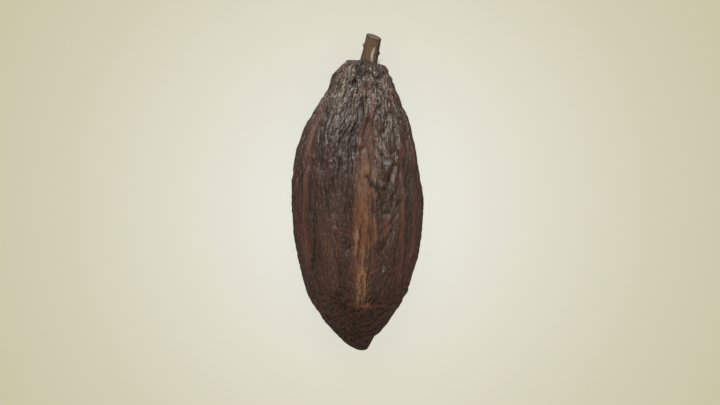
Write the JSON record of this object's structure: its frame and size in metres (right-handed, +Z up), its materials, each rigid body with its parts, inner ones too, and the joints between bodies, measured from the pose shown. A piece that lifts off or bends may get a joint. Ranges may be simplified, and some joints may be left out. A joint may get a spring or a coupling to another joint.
{
  "type": "cacao pod",
  "caption": "Dried ribbed and wrinkled cacao pod with a blunt beak and a cut woody stalk, lying on a small flat spot.",
  "frame": {"origin": "bottom centre of the box round pod and stalk, on the surface that the pod rests on", "axes": "+Z up; the pod lies along Y, with its stalk towards +Y and its beak towards -Y; +X across it"},
  "size_m": [0.0788, 0.19, 0.0741],
  "materials": {
    "husk": "dried leathery husk, dark brown, satin on the raised wrinkles, with worn orange-brown ribs",
    "stalk_bark": "matte grey-brown bark with a paler cut end"
  },
  "bodies": {
    "root": {"pod": "husk", "stem": "stalk_bark"}
  },
  "joints": []
}
